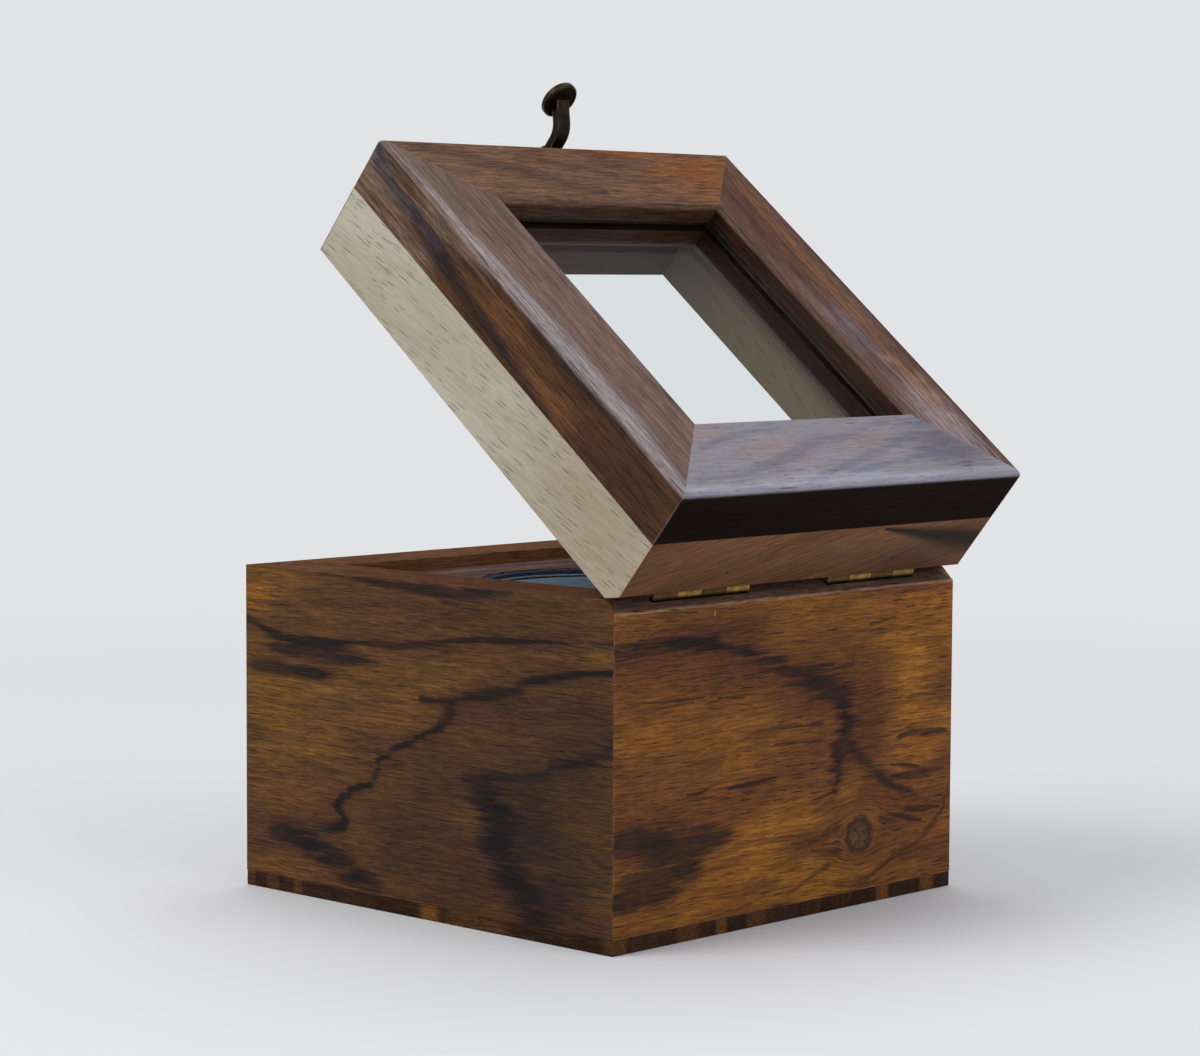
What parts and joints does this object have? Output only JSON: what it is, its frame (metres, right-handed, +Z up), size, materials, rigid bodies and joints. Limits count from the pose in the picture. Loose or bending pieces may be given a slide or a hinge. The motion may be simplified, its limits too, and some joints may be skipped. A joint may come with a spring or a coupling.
{
  "type": "cylinder music box",
  "caption": "Small wooden music box with a glazed hinged lid, swing hook latch, felt well in its deck and a wound pinned-cylinder movement inside.",
  "frame": {"origin": "middle of the underside of the case", "axes": "+Z up, +Y towards the hinge side, -Y the latch front, -X the winding key"},
  "size_m": [0.1182, 0.1223, 0.1624],
  "materials": {
    "case_wood": "oiled, figured brown with dark veins",
    "base_wood": "oiled, end grain at the edges",
    "beech": "oiled pale beech with short flecks",
    "rail_wood": "oiled dark red-brown",
    "window_glass": "clear float glass",
    "well_blue": "navy paint, matt",
    "pad_felt": "blue-grey felt",
    "trim_metal": "satin wire",
    "hinge_brass": "plain brass, slightly tarnished",
    "antique_bronze": "antique bronze, bright at worn edges",
    "key_brass": "polished brass",
    "cast_frame": "cast and brushed",
    "movement_steel": "bright steel",
    "movement_brass": "bright brass",
    "fan_metal": "thin sheet"
  },
  "bodies": {
    "case": {"front_wall": "case_wood", "back_wall": "case_wood", "left_wall": "case_wood", "right_wall": "case_wood", "base_plate": "base_wood", "deck_panel": "case_wood", "deck_ledges": "case_wood", "well_cup": "well_blue", "well_pad": "pad_felt", "well_trim_ring": "trim_metal", "hinge_leaves_case": "hinge_brass", "hinge_pins": "hinge_brass", "hinge_screws_case": "hinge_brass", "catch_plate": "antique_bronze", "catch_screws": "antique_bronze", "key_bush": "key_brass", "bedplate": "cast_frame", "winding_plate": "cast_frame", "bridge_plate": "cast_frame", "governor_plate": "cast_frame", "train_post": "cast_frame", "governor_frame": "cast_frame", "movement_screws": "movement_steel", "comb": "movement_steel", "comb_base": "cast_frame"},
    "lid": {"lid_tray_front": "beech", "lid_tray_back": "beech", "lid_tray_left": "beech", "lid_tray_right": "beech", "lid_rail_front": "rail_wood", "lid_rail_back": "rail_wood", "lid_rail_left": "rail_wood", "lid_rail_right": "rail_wood", "lid_glass": "window_glass", "hinge_leaves_lid": "hinge_brass", "hinge_screws_lid": "hinge_brass", "latch_plate": "antique_bronze", "latch_screws": "antique_bronze", "latch_pivot": "antique_bronze"},
    "hook": {"latch_hook": "antique_bronze"},
    "key": {"winding_key": "key_brass", "winding_arbor": "movement_steel", "ratchet_wheel": "movement_steel"},
    "click": {"ratchet_click": "movement_steel"},
    "cylinder": {"cylinder_drum": "movement_brass", "cylinder_caps": "movement_brass", "cylinder_arbor": "movement_steel", "cylinder_pins": "movement_steel", "cylinder_pinion": "movement_steel", "cylinder_wheel": "movement_brass"},
    "barrel": {"barrel_drum": "movement_brass", "barrel_cover": "movement_brass", "barrel_wheel": "movement_brass", "mainspring": "movement_steel"},
    "train": {"train_pinion": "movement_steel", "train_arbor": "movement_steel", "worm_wheel": "movement_brass"},
    "governor": {"governor_worm": "movement_steel", "governor_fan": "fan_metal"}
  },
  "joints": [
    {"name": "lid_hinge", "type": "hinge", "parent": "case", "child": "lid", "pos_m": [0, 0.0486, 0.06525], "axis": [-1, 0, 0], "range_deg": [-39.3, 50]},
    {"name": "hook_swing", "type": "hinge", "parent": "lid", "child": "hook", "pos_m": [0, -0.02338, 0.13456], "axis": [0, 0.7738, -0.6334], "range_deg": [0, 180]},
    {"name": "key_turn", "type": "hinge", "parent": "case", "child": "key", "pos_m": [-0.0335, 0.01, 0.02195], "axis": [1, 0, 0], "continuous": true},
    {"name": "click_rock", "type": "hinge", "parent": "case", "child": "click", "pos_m": [-0.031, 0.01423, 0.03101], "axis": [-1, 0, 0], "range_deg": [0, 14]},
    {"name": "cylinder_spin", "type": "hinge", "parent": "case", "child": "cylinder", "pos_m": [-0.0111, -0.006, 0.02195], "axis": [1, 0, 0], "continuous": true},
    {"name": "barrel_spin", "type": "hinge", "parent": "case", "child": "barrel", "pos_m": [-0.0291, 0.01, 0.02195], "axis": [1, 0, 0], "continuous": true},
    {"name": "train_spin", "type": "hinge", "parent": "case", "child": "train", "pos_m": [0.0295, 0.009, 0.02195], "axis": [1, 0, 0], "continuous": true},
    {"name": "governor_spin", "type": "hinge", "parent": "case", "child": "governor", "pos_m": [0.0295, 0.0157, 0.02195], "axis": [0, 0, 1], "continuous": true}
  ],
  "couplings": [
    {"joint": "barrel_spin", "follows": "cylinder_spin", "ratio": -0.33333},
    {"joint": "train_spin", "follows": "cylinder_spin", "ratio": -4},
    {"joint": "governor_spin", "follows": "cylinder_spin", "ratio": 40}
  ]
}
